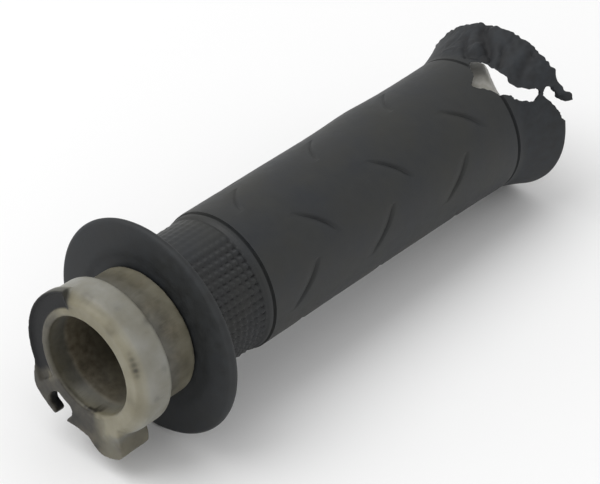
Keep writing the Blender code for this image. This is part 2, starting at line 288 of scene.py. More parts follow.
MOUTH = ((*OPEN_LOW, 18.0, 20.0), (*OPEN_LOW, 11.6, 12.4), ANYWHERE)
BORE = ((4.2, 5.6, *OPEN_HIGH), (*OPEN_LOW, 11.5, 12.2), ANYWHERE)

# Where the nylon is lighter: the collar's end, as its painted shade fades; the mouth's bottom, with
# painted light; the deep bore, cleaner; the tube's end that the sleeve covered, cleaner and with painted
# light; and the angle of the bore's side with the most painted shade
COLLAR_SHADE_FADE = (12.5, 15.5)
MOUTH_LIT_BOTTOM = (142.0, 158.0, 215.0, 231.0)
DEEP_BORE = (7.0, 16.0)
COVERED_END = (108.0, 112.0)
SHADED_SIDE_ANGLE = 110.0

# Placed smudges on the nylon, each (x, radius, angle, size, strength)
GREASE_SPOTS = (
    (0.8, 15.6, -53.0, 0.6, 0.35), (0.75, 15.55, -57.5, 0.7, 0.7), (0.7, 15.5, -62.0, 0.75, 0.9),
    (0.65, 15.45, -66.5, 0.7, 0.9), (0.6, 15.4, -71.0, 0.6, 0.55),
    (0.2, 14.4, 18.0, 1.0, 0.6), (0.3, 16.4, 165.0, 2.2, 0.7),
    (0.3, 17.6, 186.0, 0.9, 0.6), (0.3, 18.6, 190.0, 0.8, 0.55), (0.3, 19.3, 207.0, 0.5, 0.6),
)
DIRT_SPOTS = (
    (4.5, 17.0, -20.0, 1.4, 0.4), (6.5, 17.0, -75.0, 1.2, 0.4), (3.5, 17.0, -95.0, 1.3, 0.35),
    (7.8, 17.0, -40.0, 1.2, 0.6), (0.6, 15.2, -30.0, 1.6, 0.4), (0.2, 13.2, -100.0, 1.8, 0.35),
    (5.0, 17.0, -120.0, 1.6, 0.3), (2.0, 16.8, 2.0, 1.8, 0.45), (0.2, 13.0, 195.0, 1.5, 0.7),
    (0.3, 11.6, 166.0, 0.9, 0.9), (0.4, 11.6, 173.0, 0.9, 1.2), (0.5, 11.7, 180.0, 1.0, 1.7),
    (1.0, 11.7, 186.0, 0.9, 2.0), (1.5, 11.6, 190.5, 0.7, 2.0), (0.2, 14.5, 197.0, 1.0, 0.8),
)
BROWN_SPOTS = (
    (0.3, 18.8, 172.0, 1.2, 0.55), (0.3, 19.2, 180.0, 1.0, 0.6), (11.5, 14.9, -30.0, 1.8, 0.5),
    (13.5, 14.9, -55.0, 2.2, 0.55), (12.0, 14.9, -75.0, 1.6, 0.5), (15.0, 14.9, -10.0, 1.5, 0.45),
)

# Share of the sleeve's faces kept, and the angle past which an edge is sharp
SLEEVE_KEEP = 0.75
SHARP_ANGLE = 60.0

# Nylon mesh: voxel, share of the faces kept, rounds of averaging, how far each round moves a point
# of the tube, and how much more it moves one of the drum, which ends over these X
NYLON_VOXEL = 0.26
NYLON_KEEP = 0.24
EASE_ROUNDS = 6
TUBE_EASE = 0.25
DRUM_EASE = 0.35
DRUM_END = (18.0, 22.0)

# Floor: half its size and its gap to the grip
FLOOR_HALF = 4000.0
FLOOR_GAP = 0.05

# Camera and lamp, in metres, and the strength of the plain white surroundings
CAMERA_AT = (-0.2824248, -0.3149127, 0.3333439)
CAMERA_FORWARD = (0.6028, 0.5451, -0.5827)
CAMERA_RIGHT = (0.6707, -0.7417, 0.0)
CAMERA_LENS = 156.0
CAMERA_SENSOR = 36.0
LAMP_AT = (-0.35, 0.35, 1.0)
LAMP_AIM = (0.06, 0.0, 0.0)
LAMP_SIZE = 1.0
LAMP_POWER = 6.0
WORLD_STRENGTH = 0.78


def smoothstep(start, end, value):
    """Runs from 0 at start to 1 at end, for numbers or arrays."""
    share = np.clip((np.asarray(value, float) - start) / (end - start), 0.0, 1.0)
    return share * share * (3.0 - 2.0 * share)


def window(value, start, full, hold, end):
    """Runs from 0 at start to 1 at full, and from 1 at hold back to 0 at end."""
    return smoothstep(start, full, value) * (1.0 - smoothstep(hold, end, value))


def zone(x, r, angle, limits):
    """1 inside a part of the surface and 0 outside it, from its windows of x, radius and angle."""
    return window(x, *limits[0]) * window(r, *limits[1]) * window(angle, *limits[2])


def around(angle):
    """The same angle between -180 and 180 degrees."""
    return (np.asarray(angle, float) + 180.0) % 360.0 - 180.0


def place(x, r, angle):
    """Points at x along the axis, r from it, angle about it, in millimetres."""
    a = np.radians(angle)
    return np.stack(np.broadcast_arrays(x, r * np.sin(a), r * np.cos(a)), axis=-1)


def polar(points):
    """x, radius and angle of an array of points."""
    r = np.hypot(points[:, 1], points[:, 2])
    return points[:, 0], r, np.degrees(np.arctan2(points[:, 1], points[:, 2]))


def grain(points, size, seed):
    """Smooth noise from about -1 to 1 at each point, with lumps of about the given size."""
    offset = Vector((17.3 * seed, 5.1 * seed, -9.7 * seed))
    return np.array([noise.noise(Vector(p) / size + offset) for p in points.tolist()])


def noisy(points, size, height, seed):
    """One noise layer's height at each point."""
    return height * grain(points, size, seed)


def trace(points, step):
    """The (x, r) points with more between them, no more than step apart; the last is left out."""
    found = []
    for (x0, r0), (x1, r1) in zip(points, points[1:]):
        count = max(1, math.ceil(math.hypot(x1 - x0, r1 - r0) / step - 1e-6))
        found += [(x0 + (x1 - x0) * i / count, r0 + (r1 - r0) * i / count) for i in range(count)]
    return found


def rounded(cx, cr, radius, first, last, count):
    """(x, r) points on an arc, with angles measured from +X towards +r."""
    turns = np.radians(np.linspace(first, last, count + 1))
    return [(cx + radius * math.cos(a), cr + radius * math.sin(a)) for a in turns]


def groove(x, half, before, after):
    """(x, r) points across a turned groove with rounded lips."""
    points = []
    for t in (-1.0, -0.62, -0.3, 0.0, 0.3, 0.62, 1.0):
        surface = before if t < 0 else after
        points.append((x + t * half, surface - GROOVE_DEPTH * (1.0 - t * t) ** 0.7))
    return points


def flare_r(x):
    """Outer radius of the flared end."""
    start = GROOVE_X[1] + GROOVE_HALF_WIDTH[1]
    share = np.clip((np.asarray(x, float) - start) / (FLARE_WIDEST_X - start), 0.0, 1.0)
    return BODY_END_R + (FLARE_R - BODY_END_R) * share**FLARE_POWER


def inner_r(x):
    """Inner radius of the sleeve over its torn end, open past the tube's seat."""
    opened = (RIM_WALL_X, float(flare_r(RIM_WALL_X)) - RIM_WALL)
    return np.interp(x, *np.transpose([*INNER_SIDE, opened, (RIM_X, INNER_END_R)]))


def body_path():
    """(x, r) of the sleeve's outside, from its seat on the collar to the torn end."""
    middle = 0.5 * (FLANGE_FRONT_X + FLANGE_BACK_X)
    half = 0.5 * (FLANGE_BACK_X - FLANGE_FRONT_X)
    seat = [(FLANGE_SEAT_X, SLEEVE_BORE_R), (FLANGE_SEAT_X, FLANGE_SEAT_R)]
    face = [(FLANGE_FRONT_X, FLANGE_FACE_R), (FLANGE_FRONT_X, FLANGE_R - half)]
    path = trace(seat + face, FLANGE_STEP)
    path += rounded(middle, FLANGE_R - half, half, 180.0, 0.0, 9)
    path += trace([(FLANGE_BACK_X, FLANGE_BACK_R), *FLANGE_ROOT], FLANGE_STEP)
    path += rounded(ROOT_FILLET_X, BAND_R + ROOT_FILLET_R, ROOT_FILLET_R, 205.0, 262.0, 4)
    row = (KNURL_X[1] - KNURL_X[0]) / KNURL_ROWS / PIP_POINTS
    path += trace([(KNURL_X[0], BAND_R), (KNURL_X[1], BAND_R)], row)
    path += trace([(KNURL_X[1], BAND_R), (STRIP_X[0], BAND_R)], STRIP_ROW)
    strip = [(STRIP_X[1], STRIP_R), (GROOVE_X[0] - GROOVE_HALF_WIDTH[0], STRIP_R)]
    path += trace([(STRIP_X[0], BAND_R), STRIP_SLOPE] + strip, STRIP_ROW)
    path += groove(GROOVE_X[0], GROOVE_HALF_WIDTH[0], STRIP_R, BODY_R)
    swell_start, swell_end, swell = BODY_SWELL
    knees = [(GROOVE_X[0] + GROOVE_HALF_WIDTH[0], BODY_R), (swell_start, BODY_R)]
    knees += [(swell_end, BODY_R + swell), (TEAR_START_X, TEAR_START_R)]
    return path + trace(knees, BODY_ROW)[1:]


def tear_rows():
    """(x, r) of the rows over the torn end, from its start to the flare's widest part."""
    half = GROOVE_HALF_WIDTH[1]
    rows = trace([(TEAR_START_X, TEAR_START_R), (GROOVE_X[1] - half, BODY_END_R)], TEAR_ROW)
    rows += groove(GROOVE_X[1], half, BODY_END_R, BODY_END_R)[:-1]
    flare = trace([(GROOVE_X[1] + half, 0.0), (RIM_START[0], 0.0)], TEAR_ROW)
    return rows + [(x, float(flare_r(x))) for x, _ in flare] + [RIM_START]


def drawn(outline, step):
    """An (x, angle) line on the torn surface with points no more than step apart."""
    points = unstretched(outline)
    dense = []
    for here, there in zip(points, points[1:]):
        span = math.hypot(there[0] - here[0], math.radians(there[1] - here[1]) * EDGE_R)
        count = max(1, math.ceil(span / step))
        dense += [here + (there - here) * i / count for i in range(count)]
    return np.array(dense)


def ragged(outline, seed):
    """Closed (x, angle) outline with close points, shifted by a torn edge's noise."""
    dense = drawn(outline + outline[:1], RAG_STEP)
    flat = place(dense[:, 0], EDGE_R, dense[:, 1])
    fine_size = RAG_SIZE * FINE_RAG
    dense[:, 0] += noisy(flat, RAG_SIZE, RAG_X, seed) + noisy(flat, fine_size, RAG_X, seed + 1)
    dense[:, 1] += noisy(flat, RAG_SIZE, RAG_ANGLE, seed + 2) + noisy(flat, fine_size, RAG_ANGLE, seed + 3)
    return dense


def inside(points, outline):
    """Whether each (x, angle) point lies inside a closed outline."""
    x, y = points[..., 0], points[..., 1]
    found = np.zeros(x.shape, bool)
    for (x0, y0), (x1, y1) in zip(outline, np.roll(outline, -1, axis=0)):
        if y0 != y1:
            found ^= ((y0 > y) != (y1 > y)) & (x < (x1 - x0) * (y - y0) / (y1 - y0) + x0)
    return found


def nearest(points, outline):
    """The outline point nearest to each (x, angle) point, and how far it is in millimetres."""
    scale = np.array((1.0, math.radians(EDGE_R)))
    gap = np.linalg.norm((points[:, None] - outline[None]) * scale, axis=2)
    best = gap.argmin(axis=1)
    return outline[best], gap[np.arange(len(points)), best]


def knurl(x, angle):
    """Share of the pips' height, how worn they are, and whether this is the band at all."""
    u = (around(angle) / 360.0 * RIBS) % 1.0
    v = np.clip((x - KNURL_X[0]) / (KNURL_X[1] - KNURL_X[0]), 0.0, 1.0) * KNURL_ROWS % 1.0
    ridge = 1.0 - np.abs(2.0 * u - 1.0)
    peak = 1.0 - np.abs(2.0 * v - 1.0)
    worn = np.zeros(np.shape(angle))
    for angles, share in KNURL_WORN:
        worn = np.maximum(worn, share * window(angle, *angles))
    band = window(x, KNURL_X[0], KNURL_X[0] + 0.4, KNURL_X[1] - 0.1, KNURL_X[1])
    return ridge**0.8 * (KNURL_FLOOR + (1.0 - KNURL_FLOOR) * peak), worn, band


def scoop_marks():
    """Every scooped mark, as (middle angle, span, X at its first end, advance, bulge, depth)."""
    marks = []
    for row, twist in SCOOP_ROWS:
        for quarter in range(4):
            for (first, last, start, advance, bulge), back_depth in zip(SCOOPS, BACK_DEPTHS):
                x = row + start
                depth = 1.0
                if quarter % 2:
                    last += BACK_SHORTER
                    x += BACK_SHIFT
                    advance *= BACK_ADVANCE
                    bulge = BACK_BULGE
                    depth = back_depth
                middle = 0.5 * (first + last) + twist + 90.0 * quarter
                marks.append((middle, last - first, x, advance, bulge, depth))
    return marks


def scoop_edge(mark, angle):
    """How far along a mark each angle is, from 0 to 1, and where its far edge is along X."""
    middle, span, x, advance, bulge, _ = mark
    share = 0.5 + around(angle - middle) / span
    return share, x + advance * share + bulge * np.sin(math.pi * share)


def scoops(x, angle):
    """Depth of the scooped marks at each point: a slit along the far side and a shallow ramp."""
    depth = np.zeros(np.broadcast(x, angle).shape)
    for mark in scoop_marks():
        share, edge = scoop_edge(mark, angle)
        along = np.clip(SCOOP_TIP + (1.0 - 2.0 * SCOOP_TIP) * share, 0.0, 1.0)
        ends = np.sin(math.pi * along) ** SCOOP_BLUNT
        back = edge - x
        wall = smoothstep(*SCOOP_WALL, back)
        slit = wall * smoothstep(SCOOP_SLIT, SCOOP_WALL[1], back)
        ramp = wall * smoothstep(SCOOP_RAMP, SCOOP_WALL[1], back)
        shape = np.maximum(SCOOP_DEPTH * slit, SCOOP_RAMP_DEPTH * ramp)
        depth = np.maximum(depth, mark[-1] * ends * shape)
    return depth


def near_scoop(x, angle):
    """Whether each point lies in or next to a scooped mark's slit."""
    near = np.zeros(np.broadcast(x, angle).shape, bool)
    for mark in scoop_marks():
        share, edge = scoop_edge(mark, angle)
        near |= (share > -0.05) & (share < 1.05) & (np.abs(edge - SCOOP_MIDDLE - x) < SCOOP_REACH)
    return near


def bulges(x, angle):
    """Rise of the body's worn bulges at each point."""
    rise = np.zeros(np.broadcast(x, angle).shape)
    for at_x, at_angle, height, half_x, half_angle in BULGES:
        gap = ((x - at_x) / half_x) ** 2 + (around(angle - at_angle) / half_angle) ** 2
        rise += height * np.exp(-gap)
    return rise


def lift_share(x, angle):
    """How much of its full lift the torn flare has at this point."""
    ends = np.interp(x, *np.transpose(LIFT_END))
    over = smoothstep(*LIFT_ANGLES, angle) * smoothstep(ends - LIFT_FADE, ends + LIFT_FADE, angle)
    return over * smoothstep(*LIFT_X, x)


def along_shift(x, angle):
    """How far the torn rim has stretched along X at this point."""
    edge = np.interp(angle, *np.transpose(RIM_EDGE))
    return (edge - RIM_X) * smoothstep(STRETCH_START_X, RIM_X, x)


def unstretched(outline):
    """An outline on the torn surface, moved to where it lies before the rim stretches."""
    target = np.array(outline, float)
    found = target.copy()
    for _ in range(12):
        found[:, 0] = target[:, 0] - along_shift(found[:, 0], found[:, 1])
    return found


def creases(x, angle):
    """Depth of the torn strip's folds at each point."""
    depth = np.zeros(np.broadcast(x, angle).shape)
    here = np.stack([x, np.radians(angle) * ON_STRIP_R], axis=-1)
    for line, deepest, half in FOLDS:
        path = np.array([(px, math.radians(pa) * ON_STRIP_R) for px, pa in line])
        gap = np.full(depth.shape, np.inf)
        for start, end in zip(path, path[1:]):
            side = end - start
            share = np.clip(((here - start) @ side) / (side @ side), 0.0, 1.0)
            gap = np.minimum(gap, np.linalg.norm(here - start - share[..., None] * side, axis=-1))
        depth += deepest * np.exp(-((gap / half) ** 2))
    return depth


def lumps(x, angle):
    """Height of the torn strip's lumps at each point."""
    height = np.zeros(np.broadcast(x, angle).shape)
    for px, pa, rise, half in LUMPS:
        gap = np.hypot(x - px, np.radians(angle - pa) * ON_STRIP_R)
        height += rise * np.exp(-((gap / half) ** 2))
    return height


def carve_scoops(sleeve):
    """Divides the body's faces finely round the scooped marks and presses the marks in."""
    mesh = bmesh.new()
    mesh.from_mesh(sleeve.data)
    x, r, angle = polar(np.array([v.co for v in mesh.verts]) / MM)
    reach = np.where(r > BODY_SKIN_R, near_scoop(x, angle), False)
    faces = [f for f in mesh.faces if any(reach[v.index] for v in f.verts)]
    chosen = {e for f in faces for e in f.edges}
    edges = [e for e in mesh.edges if e in chosen]
    bmesh.ops.subdivide_edges(mesh, edges=edges, cuts=2, use_grid_fill=True)
    x, r, angle = polar(np.array([v.co for v in mesh.verts]) / MM)
    depth = np.where(r > BODY_SKIN_R, scoops(x, angle), 0.0)
    for vertex, down in zip(mesh.verts, depth):
        if down > 0.0:
            out = Vector((0.0, vertex.co.y, vertex.co.z))
            vertex.co -= out.normalized() * (down * MM)
    mesh.to_mesh(sleeve.data)
    mesh.free()


class Mesh:
    """Points and faces gathered for one closed mesh."""

    def __init__(self):
        self.points = []
        self.faces = []
        self.count = 0

    def add(self, points):
        """Adds an array of points and returns their numbers, in the array's shape."""
        flat = points.reshape(-1, 3)
        numbers = np.arange(self.count, self.count + len(flat)).reshape(points.shape[:-1])
        self.points.append(flat)
        self.count += len(flat)
        return numbers

    def strip(self, here, there, keep=None):
        """Quads between two rings of numbers, where keep says so."""
        quads = np.stack([here, there, np.roll(there, -1), np.roll(here, -1)], axis=1)
        self.faces += (quads if keep is None else quads[keep]).tolist()

    def object(self, name):
        """The mesh as an object in the scene, in metres."""
        data = bpy.data.meshes.new(name)
        data.from_pydata((np.concatenate(self.points) * MM).tolist(), [], self.faces)
        used = bpy.data.objects.new(name, data)
        bpy.context.scene.collection.objects.link(used)
        return used


def sleeve_surface(path, angles):
    """Points of the sleeve's outside with its knurl, bulges and slight unevenness."""
    x = np.array([p[0] for p in path])[:, None]
    r = np.array([p[1] for p in path])[:, None]
    angle = angles[None, :]
    x, r, angle = (a.astype(float) for a in np.broadcast_arrays(x, r, angle))
    plain = place(x, r, angle).reshape(-1, 3)
    uneven = noisy(plain, *BODY_UNEVEN).reshape(x.shape)
    fine = noisy(plain, *FINE_GRAIN).reshape(x.shape)
    ribs, worn, band = knurl(x, angle)
    spot = np.clip(0.9 + FINE_ON_KNURL * fine, 0.0, 1.0)
    height = (KNURL_BASE_R - BAND_R) + KNURL_HEIGHT * ribs * spot
    on_band = band * (np.abs(r - BAND_R) < 0.05)
    r += on_band * (height * (1.0 - worn) + (WORN_RISE + WORN_RIB * ribs) * worn)
    on_body = (x > GROOVE_X[0] + GROOVE_HALF_WIDTH[0]) & (x < TEAR_START_X + 0.01)
    r += np.where(on_body, uneven + FINE_ON_BODY * fine + bulges(x, angle), 0.0)
    return place(x, r, angle)


def build_sleeve():
    """The whole rubber sleeve as one closed mesh."""
    mesh = Mesh()
    angles = -180.0 + 360.0 * np.arange(COLUMNS) / COLUMNS
    body = mesh.add(sleeve_surface(body_path(), angles))
    for here, there in zip(body, body[1:]):
        mesh.strip(here, there)
    last = build_torn_end(mesh, tear_rows(), angles, body[-1])
    for x in SLEEVE_BORE_XS:
        ring = mesh.add(place(x, SLEEVE_BORE_R, angles))
        mesh.strip(last, ring)
        last = ring
    mesh.strip(last, body[0])
    return mesh.object("rubber_sleeve")


def torn_grid(rows, angles):
    """(x, angle) of the torn end's points, which cells are torn away, and which points edge them."""
    x = np.array([row[0] for row in rows])
    grid = np.stack(np.broadcast_arrays(x[:, None], angles[None, :]), axis=-1).astype(float)
    outlines = (ragged(HOLE_DRUM_SIDE + HOLE_STRIP_SIDE, 3), ragged(GAP_STRIP_SIDE + GAP_LOWER_SIDE, 8))
    middles = 0.5 * (grid[:-1] + grid[1:]) + np.array((0.0, 0.5 * STEP_ANGLE))
    gone = np.zeros(middles.shape[:2], bool)
    for outline in outlines:
        gone |= inside(middles, outline)
    near_gone = np.zeros(grid.shape[:2], int)
    for rows_shift in (0, 1):
        for columns_shift in (0, 1):
            moved = np.roll(gone, columns_shift, axis=1)
            near_gone[rows_shift : rows_shift + len(gone)] += moved
    edge = (near_gone > 0) & (near_gone < 4)
    edge[-1] = (near_gone[-1] > 0) & (near_gone[-1] < 2)
    snapped, _ = nearest(grid[edge], np.concatenate(outlines))
    last_row = np.zeros_like(edge)
    last_row[-1] = True
    snapped[last_row[edge], 0] = grid[edge][last_row[edge], 0]
    grid[edge] = snapped
    return grid, gone, edge


def thinness(x, angle):
    """How far the rubber is drawn out thin at each point, from 0 to 1, and how thick it is there."""
    share = np.zeros(np.broadcast(x, angle).shape)
    wall = np.ones(share.shape)
    for at_x, at_angle, full, gone, thickness in THIN_AT:
        gap = np.hypot(x - at_x, np.radians(angle - at_angle) * ON_STRIP_R)
        here = smoothstep(gone, full, gap)
        wall = np.where(here > share, thickness, wall)
        share = np.maximum(share, here)
    return share, wall


def torn_points(grid, r, inner):
    """Points of the torn end's outer or inner surface, lifted and crumpled."""
    x, angle = grid[..., 0], grid[..., 1]
    plain = place(x, r, angle).reshape(-1, 3)
    torn = smoothstep(*CRUMPLED_X, x) * window(angle, *CRUMPLED_ANGLES)
    on_top = place(x, flare_r(x), angle).reshape(-1, 3)
    rough = sum(noisy(on_top, *layer) for layer in CRUMPLE).reshape(x.shape)
    if inner:
        thin, _ = thinness(x, angle)
        rough = rough * thin + noisy(plain, *INNER_CRUMPLE).reshape(x.shape) * (1.0 - thin)
    else:
        rough = rough + noisy(plain, *OUTER_CRUMPLE).reshape(x.shape)
        rough = rough + lumps(x, angle) - creases(x, angle)
    curl = window(angle, *CURL_ANGLES) * smoothstep(CURL_X, RIM_X, x)
    near_rim = smoothstep(RAGGED_X, RIM_X, x) * window(angle, *RAGGED_ANGLES)
    out = r + LIFT * lift_share(x, angle) + torn * rough + CURL * curl
    out = out + near_rim * noisy(on_top, *RIM_CRUMPLE).reshape(x.shape)
    ring = place(*RIM_RAG_RING, angle.ravel())
    rag = sum(noisy(ring, *layer) for layer in RIM_RAG).reshape(x.shape)
    along = x + along_shift(x, angle) + RIM_RAG_X * near_rim * rag
    return place(np.minimum(along, LONGEST_X), np.maximum(out, SLEEVE_BORE_R - 0.1), angle)


def feathered(grid):
    """The inner surface's grid, cut back under the torn strip's edges."""
    flat = grid.reshape(-1, 2)
    scale = np.array((1.0, math.radians(EDGE_R)))
    calm = (1.0 - FEATHER_CALM * thinness(flat[:, 0], flat[:, 1])[0])[:, None]
    moved = flat.copy()
    for outline, towards, shift in FEATHERS:
        target, gap = nearest(flat, drawn(outline, FEATHER_STEP))
        past = (flat - target) * scale @ np.array(towards)
        share = (1.0 - smoothstep(0.0, FEATHER_REACH, gap)) * smoothstep(*FEATHER_PAST, past)
        room = 1.0 - smoothstep(STRETCH_START_X, RIM_START[0], flat[:, :1]) * np.array((1.0, 0.0))
        moved += calm * share[:, None] * room * np.array(shift)
    return moved.reshape(grid.shape)


def build_torn_end(mesh, rows, angles, first_ring):
    """Adds the torn end's outer side, torn walls, rim and inner side, and returns the last ring."""
    grid, gone, edge = torn_grid(rows, angles)
    r = np.array([row[1] for row in rows])[:, None] + np.zeros_like(grid[..., 0])
    r[edge] = np.interp(grid[edge][:, 0], [row[0] for row in rows], [row[1] for row in rows])
    outer_points = torn_points(grid, r, False)
    inner_grid = feathered(grid)
    inner_x, inner_angle = inner_grid[..., 0], inner_grid[..., 1]
    thin, wall = thinness(inner_x, inner_angle)
    thin_r = flare_r(inner_x) - wall
    inner_points = torn_points(inner_grid, inner_r(inner_x) * (1.0 - thin) + thin_r * thin, True)
    rim_points = []
    for x, rim_r in RIM_ROUND:
        ring = np.stack([np.full(COLUMNS, x), grid[-1, :, 1]], axis=-1)
        rim_points.append(torn_points(ring, np.full(COLUMNS, rim_r), False))
    inner_points[-1, :, 0] = np.minimum(inner_points[-1, :, 0], rim_points[-1][:, 0] - 0.1)
    outer = mesh.add(outer_points)
    inner = mesh.add(inner_points)
    rims = [outer[-1]] + [mesh.add(points) for points in rim_points] + [inner[-1]]
    mesh.strip(first_ring, outer[0])
    for i in range(len(rows) - 1):
        mesh.strip(outer[i], outer[i + 1], ~gone[i])
        mesh.strip(inner[i + 1], inner[i], ~gone[i])
    for here, there in zip(rims, rims[1:]):
        mesh.strip(here, there, ~gone[-1])
    add_torn_walls(mesh, gone, outer, inner, outer_points, inner_points, rims)
    return inner[0]


def add_torn_walls(mesh, gone, outer, inner, outer_points, inner_points, rims):
    """Closes the torn cells' edges with rough walls between the outer and the inner side."""
    chains = {}

    def chain(i, j):
        """Numbers of the points down the wall at a grid point, from outer to inner."""
        if (i, j) not in chains:
            shares = (np.arange(1, WALL_LOOPS + 1) / (WALL_LOOPS + 1))[:, None]
            middle = outer_points[i, j] * (1.0 - shares) + inner_points[i, j] * shares
            rough = np.array([noise.noise_vector(Vector(p) / WALL_CRUMPLE[0]) for p in middle])
            numbers = mesh.add(middle + WALL_CRUMPLE[1] * rough)
            chains[i, j] = [outer[i, j], *numbers, inner[i, j]]
        return chains[i, j]

    def wall(start, end):
        """Faces between the points down the wall at two neighbouring grid points."""
        here, there = chain(*start), chain(*end)
        for k in range(len(here) - 1):
            mesh.faces.append([here[k], there[k], there[k + 1], here[k + 1]])

    count = len(gone)
    for i in range(count):
        for j in range(COLUMNS):
            after = (j + 1) % COLUMNS
            if gone[i, j] != gone[i, j - 1]:
                wall(*(((i, j), (i + 1, j)) if gone[i, j] else ((i + 1, j), (i, j))))
            if i and gone[i, j] != gone[i - 1, j]:
                wall(*(((i, after), (i, j)) if gone[i, j] else ((i, j), (i, after))))
    for j in range(COLUMNS):
        if gone[-1, j] != gone[-1, j - 1]:
            profile = [ring[j] for ring in rims] + chain(count, j)[-2:0:-1]
            mesh.faces.append(profile if gone[-1, j] else profile[::-1])


def build_nylon():
    """The CAD tube with its edges rounded over as worn, moulded nylon has them."""
    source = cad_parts["throttle_tube"]
    tube = bpy.data.objects.new("nylon_tube", source.data.copy())
    bpy.context.scene.collection.objects.link(tube)
    add_modifier(tube, "WELD", merge_threshold=1e-6)
    add_modifier(tube, "REMESH", mode="VOXEL", voxel_size=NYLON_VOXEL * MM)
    bake_modifiers(tube)
    ease(tube)
    add_modifier(tube, "DECIMATE", ratio=NYLON_KEEP)
    bake_modifiers(tube)
    tube.data.materials.clear()
    return tube


def add_modifier(piece, kind, **settings):
    """Adds a modifier of a kind, with its settings."""
    modifier = piece.modifiers.new(kind.lower(), kind)
    for key, value in settings.items():
        setattr(modifier, key, value)


def bake_modifiers(piece):
    """Makes the modifiers' result the piece's own mesh."""
    graph = bpy.context.evaluated_depsgraph_get()
    made = bpy.data.meshes.new_from_object(piece.evaluated_get(graph))
    piece.modifiers.clear()
    piece.data = made


def plain_points(piece):
    """The points of a piece's mesh, in metres."""
    flat = np.zeros(len(piece.data.vertices) * 3, np.float32)
    piece.data.vertices.foreach_get("co", flat)
    return flat.reshape(-1, 3).astype(float)


def ease(piece):
    """Rounds the drum's edges by averaging neighbours, and the rest of the tube less."""
    mesh = piece.data
    points = plain_points(piece)
    ends = np.zeros(len(mesh.edges) * 2, np.int32)
    mesh.edges.foreach_get("vertices", ends)
    first, second = ends.reshape(-1, 2).T
    count = np.bincount(first, minlength=len(points)) + np.bincount(second, minlength=len(points))
    share = TUBE_EASE + DRUM_EASE * (1.0 - smoothstep(*DRUM_END, points[:, 0] / MM))
    for _ in range(EASE_ROUNDS):
        total = np.zeros_like(points)
        np.add.at(total, first, points[second])
        np.add.at(total, second, points[first])
        points += share[:, None] * (total / count[:, None] - points)
    mesh.vertices.foreach_set("co", points.astype(np.float32).ravel())
    mesh.update()


def new_material(name):
    """A new node material, its tree, its shader, and a function that adds nodes to it."""
    material = bpy.data.materials.new(name)
    material.use_nodes = True
    tree = material.node_tree
    shader = tree.nodes["Principled BSDF"]

    def add(kind, inputs=None, **settings):
        """A new node with its settings, and its inputs linked or set."""
        node = tree.nodes.new(kind)
        for key, value in settings.items():
            setattr(node, key, value)
        for key, value in (inputs or {}).items():
            if isinstance(value, bpy.types.NodeSocket):
                tree.links.new(value, node.inputs[key])
            else:
                node.inputs[key].default_value = value
        return node

    return material, tree, shader, add


def mottling(add, position, scale, detail=4.0):
    """A noise texture's value at a scale, in lumps per metre."""
    inputs = {"Vector": position, "Scale": scale, "Detail": detail}
    return add("ShaderNodeTexNoise", inputs).outputs["Fac"]


def stored(add, name):
    """A number stored for each point of the piece's mesh."""
    return add("ShaderNodeAttribute", attribute_name=name).outputs["Fac"]


def ramp(add, value, *stops):
    """A colour ramp from (position, colour) stops."""
    node = add("ShaderNodeValToRGB", {"Fac": value})
    elements = node.color_ramp.elements
    while len(elements) < len(stops):
        elements.new(0.5)
    for element, (position, color) in zip(elements, stops):
        element.position = position
        element.color = (*color, 1.0)
    return node.outputs["Color"]


def blend(add, share, first, second):
    """Mixes two colours; the node's inputs 6 and 7 and its output 2 are its colour sockets."""
    if not isinstance(second, bpy.types.NodeSocket):
        second = (*second, 1.0)
    return add("ShaderNodeMix", {0: share, 6: first, 7: second}, data_type="RGBA").outputs[2]


def calculate(add, operation, *values, clamp=False):
    """One math node."""
    inputs = dict(enumerate(values))
    return add("ShaderNodeMath", inputs, operation=operation, use_clamp=clamp).outputs[0]


def rubber_material():
    """Aged charcoal rubber: faintly mottled, dusty and satin, abraded where it is torn, with painted shade
    over the flared end and painted shade and dirt in its recesses.
    """
    material, tree, shader, add = new_material("worn_rubber")
    position = add("ShaderNodeTexCoord").outputs["Object"]
    mottle = mottling(add, position, 90.0)
    dust = mottling(add, position, 420.0, 6.0)
    specks = mottling(add, position, 2600.0, 3.0)
    wear_and_shade = stored(add, "scuffed_and_shaded")
    base = ramp(add, mottle, (0.3, (0.0115, 0.0145, 0.0185)), (0.7, (0.0205, 0.0210, 0.0165)))
    dusty = ramp(add, dust, (0.35, (0.011, 0.012, 0.013)), (0.75, (0.026, 0.027, 0.027)))
    color = blend(add, 0.4, base, dusty)
    # Darker, bluish scuffed colour: wear on the torn strip and the flange, painted shade on the flared end
    scuffed = ramp(add, dust, (0.3, (0.007, 0.008, 0.010)), (0.7, (0.019, 0.023, 0.028)))
    color = blend(add, wear_and_shade, color, scuffed)
    # Painted shade and dirt: darker in the scooped marks, the knurl, the grooves and the torn strip's
    # creases
    recess = stored(add, "recess")
    color = blend(add, calculate(add, "MULTIPLY", recess, 0.6), color, (0.006, 0.006, 0.007))
    tree.links.new(color, shader.inputs["Base Color"])
    rough = calculate(add, "MULTIPLY_ADD", dust, 0.22, 0.46)
    tree.links.new(calculate(add, "MULTIPLY_ADD", wear_and_shade, 0.15, rough), shader.inputs["Roughness"])
    shader.inputs["Specular IOR Level"].default_value = 0.45
    grainy = calculate(add, "MULTIPLY_ADD", specks, 0.5, dust)
    inputs = {"Height": grainy, "Strength": 0.35, "Distance": 0.00015}
    tree.links.new(add("ShaderNodeBump", inputs).outputs["Normal"], shader.inputs["Normal"])
    return material


